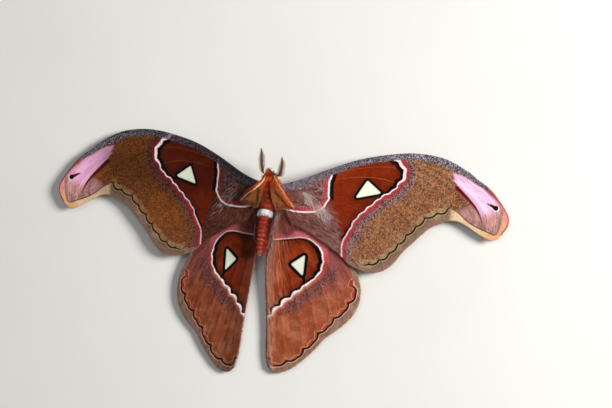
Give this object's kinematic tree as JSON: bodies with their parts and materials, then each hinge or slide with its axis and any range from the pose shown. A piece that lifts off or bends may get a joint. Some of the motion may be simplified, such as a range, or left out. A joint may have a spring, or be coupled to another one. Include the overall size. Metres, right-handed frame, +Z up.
{
  "type": "atlas moth",
  "caption": "Large silk moth at rest with its wings spread flat, hooked fore wing tips, clear wing windows and feathery feelers, standing on its feet.",
  "frame": {"origin": "middle of the moth's box in plan, on the plane that its feet stand on", "axes": "+Z up out of the back; +Y the way the head looks; +X the moth's right wing"},
  "size_m": [0.245, 0.1212, 0.0209],
  "materials": {
    "thorax": "short rust-red fur",
    "abdomen": "banded rust-red fur, white at the front",
    "head": "rust-brown fur",
    "forewing_left": "matte scales in a banded pattern with a clear window",
    "hindwing_left": "matte scales in a banded pattern with a clear window",
    "tegula_left": "orange fur",
    "antenna_left": "matte horn-like",
    "eye_left": "glossy",
    "palp_left": "short fur",
    "leg_fore_left": "short fur",
    "leg_mid_left": "short fur",
    "leg_hind_left": "short fur",
    "forewing_right": "matte scales in a banded pattern with a clear window",
    "hindwing_right": "matte scales in a banded pattern with a clear window",
    "tegula_right": "orange fur",
    "antenna_right": "matte horn-like",
    "eye_right": "glossy",
    "palp_right": "short fur",
    "leg_fore_right": "short fur",
    "leg_mid_right": "short fur",
    "leg_hind_right": "short fur"
  },
  "bodies": {
    "root": {"thorax": "thorax", "abdomen": "abdomen", "head": "head", "forewing_left": "forewing_left", "hindwing_left": "hindwing_left", "tegula_left": "tegula_left", "antenna_left": "antenna_left", "eye_left": "eye_left", "palp_left": "palp_left", "leg_fore_left": "leg_fore_left", "leg_mid_left": "leg_mid_left", "leg_hind_left": "leg_hind_left", "forewing_right": "forewing_right", "hindwing_right": "hindwing_right", "tegula_right": "tegula_right", "antenna_right": "antenna_right", "eye_right": "eye_right", "palp_right": "palp_right", "leg_fore_right": "leg_fore_right", "leg_mid_right": "leg_mid_right", "leg_hind_right": "leg_hind_right"}
  },
  "joints": []
}
